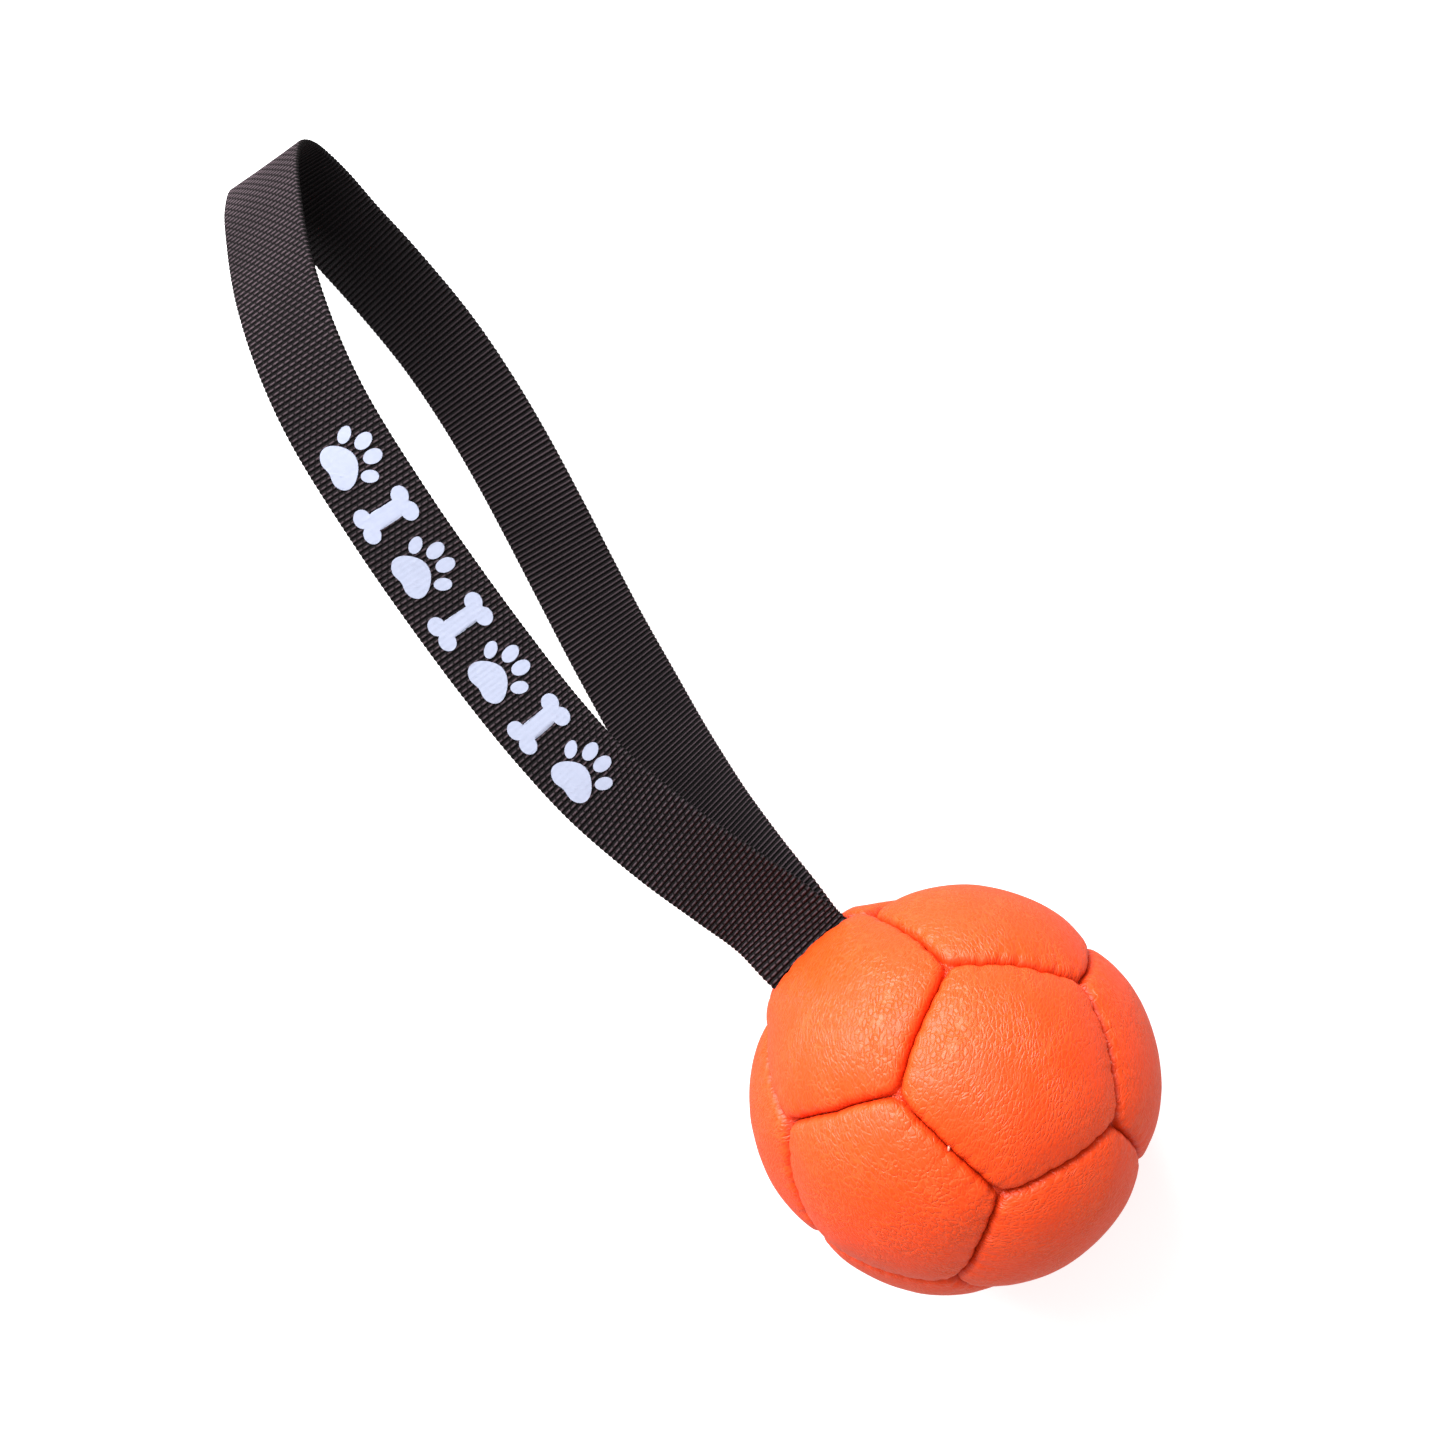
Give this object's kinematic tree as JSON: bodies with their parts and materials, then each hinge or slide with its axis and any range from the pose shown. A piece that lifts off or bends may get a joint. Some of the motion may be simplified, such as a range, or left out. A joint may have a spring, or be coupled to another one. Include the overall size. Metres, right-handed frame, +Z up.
{
  "type": "dog training ball",
  "caption": "Stuffed ball of sewn five-sided leather panels with a hand loop of black webbing sewn into one seam.",
  "frame": {"origin": "the point where the ball rests, in the middle of the small flat that it presses into itself", "axes": "+X from the ball to the far end of the hand loop, +Z up from the surface that the part lies on"},
  "size_m": [0.2675, 0.092, 0.0796],
  "materials": {
    "orange_leather": "satin pebble grain",
    "orange_thread": "matt twisted thread",
    "black_webbing": "ribbed plain weave",
    "stuffing": "matt fibre"
  },
  "bodies": {
    "ball": {"filling": "stuffing", "panel_01": "orange_leather", "panel_02": "orange_leather", "panel_03": "orange_leather", "panel_04": "orange_leather", "panel_05": "orange_leather", "panel_06": "orange_leather", "panel_07": "orange_leather", "panel_08": "orange_leather", "panel_09": "orange_leather", "panel_10": "orange_leather", "panel_11": "orange_leather", "panel_12": "orange_leather", "seam_thread_01_02": "orange_thread", "seam_thread_01_03": "orange_thread", "seam_thread_01_04": "orange_thread", "seam_thread_01_05": "orange_thread", "seam_thread_01_06": "orange_thread", "seam_thread_02_03": "orange_thread", "seam_thread_02_04": "orange_thread", "seam_thread_02_07": "orange_thread", "seam_thread_02_08": "orange_thread", "seam_thread_03_05": "orange_thread", "seam_thread_03_07": "orange_thread", "seam_thread_03_09_left": "orange_thread", "seam_thread_03_09_right": "orange_thread", "seam_thread_04_06": "orange_thread", "seam_thread_04_08": "orange_thread", "seam_thread_04_10": "orange_thread", "seam_thread_05_06": "orange_thread", "seam_thread_05_09": "orange_thread", "seam_thread_05_11": "orange_thread", "seam_thread_06_10": "orange_thread", "seam_thread_06_11": "orange_thread", "seam_thread_07_08": "orange_thread", "seam_thread_07_09": "orange_thread", "seam_thread_07_12": "orange_thread", "seam_thread_08_10": "orange_thread", "seam_thread_08_12": "orange_thread", "seam_thread_09_11": "orange_thread", "seam_thread_09_12": "orange_thread", "seam_thread_10_11": "orange_thread", "seam_thread_10_12": "orange_thread", "seam_thread_11_12": "orange_thread", "strap_stitch_1": "orange_thread", "strap_stitch_2": "orange_thread", "strap_stitch_3": "orange_thread", "strap_stitch_4": "orange_thread"},
    "handle": {"handle_strap": "black_webbing"}
  },
  "joints": [
    {"name": "handle_flex", "type": "hinge", "parent": "ball", "child": "handle", "pos_m": [0.0366, 0.0116, 0.0417], "axis": [0.286, -0.937, 0.2004], "range_deg": [-45, 60], "deforming": ["handle_strap"]}
  ]
}
